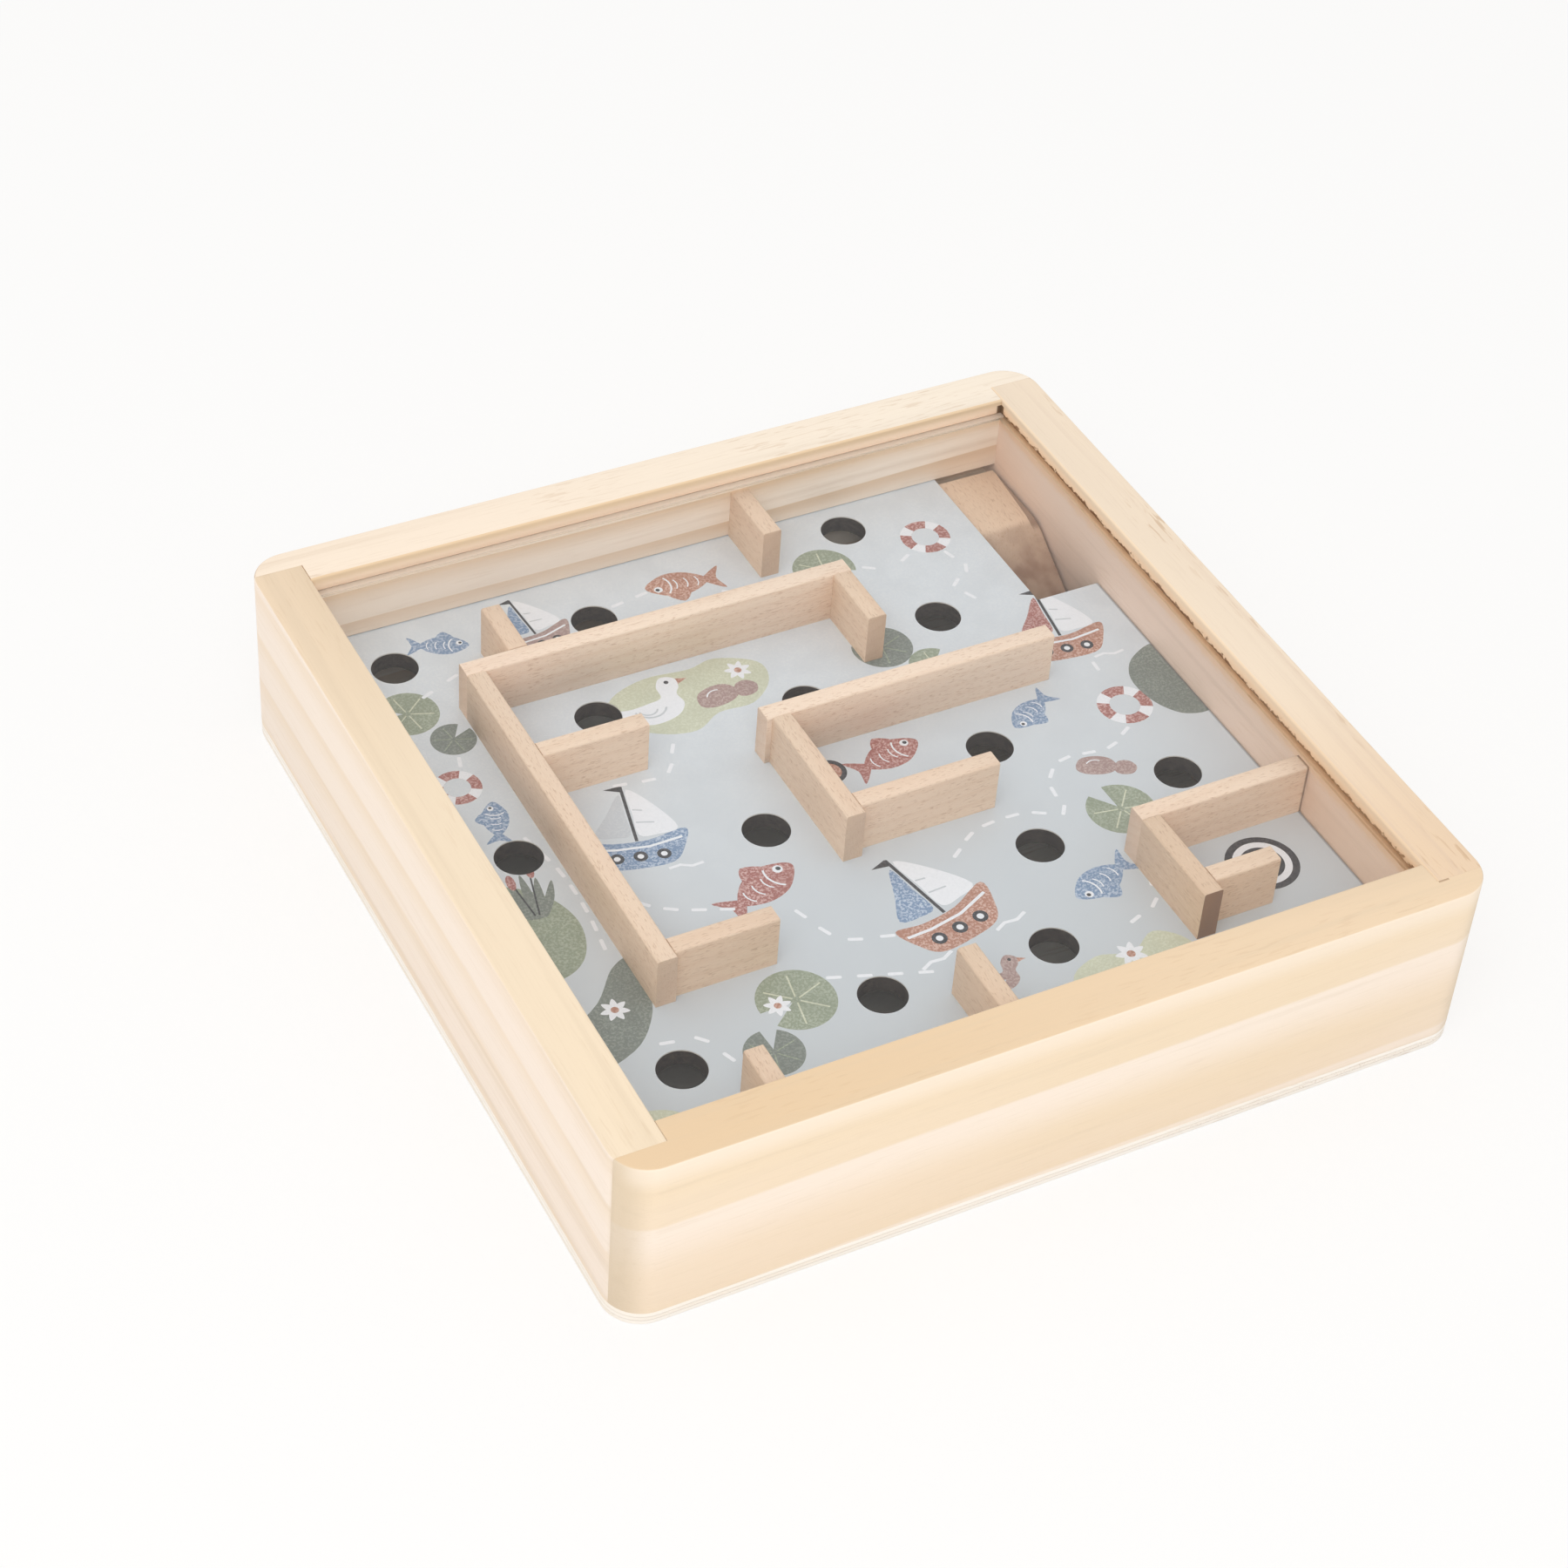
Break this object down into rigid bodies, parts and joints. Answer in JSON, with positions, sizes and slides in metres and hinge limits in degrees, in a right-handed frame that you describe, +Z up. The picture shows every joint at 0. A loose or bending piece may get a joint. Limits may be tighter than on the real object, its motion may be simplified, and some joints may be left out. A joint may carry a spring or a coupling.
{
  "type": "dexterity puzzle",
  "caption": "Square wooden tilt maze: a ball rolls between low walls past trap holes under a clear cover, and a ramp in the corner brings it back up.",
  "frame": {"origin": "centre of the square footprint, on the underside of the base panel", "axes": "+Z up through the clear cover; +Y towards the rail beside the ramp's landing; +X towards the rail that the ramp runs along"},
  "size_m": [0.14, 0.14, 0.0314],
  "materials": {
    "pine": "sanded bare pine with soft straight grain",
    "birch_plywood": "sanded birch plywood",
    "beech": "fine-grained light hardwood strip, sawn and lightly sanded",
    "board_fibre": "brown fibreboard, bare on its edges",
    "printed_paper": "matt print in soft blue, brick red and sage",
    "clear_sheet": "clear acrylic sheet",
    "polished_steel": "polished bearing ball"
  },
  "bodies": {
    "case": {"base_panel": "birch_plywood", "front_rail": "pine", "back_rail": "pine", "left_rail": "pine", "right_rail": "pine", "maze_board": "board_fibre", "printed_sheet": "printed_paper", "clear_cover": "clear_sheet", "return_ramp": "beech", "back_stub_wall": "beech", "upper_stub_wall": "beech", "upper_long_wall": "beech", "upper_hook_wall": "beech", "left_long_wall": "beech", "left_branch_wall": "beech", "left_foot_wall": "beech", "middle_long_wall": "beech", "middle_leg_wall": "beech", "middle_foot_wall": "beech", "finish_back_wall": "beech", "finish_side_wall": "beech", "finish_hook_wall": "beech", "front_middle_stub_wall": "beech", "front_left_stub_wall": "beech"},
    "ball": {"steel_ball": "polished_steel"}
  },
  "joints": [
    {"name": "ball_roll", "type": "slide", "parent": "case", "child": "ball", "axis": [0, 1, 0], "range_m": [0, 0.079]}
  ]
}
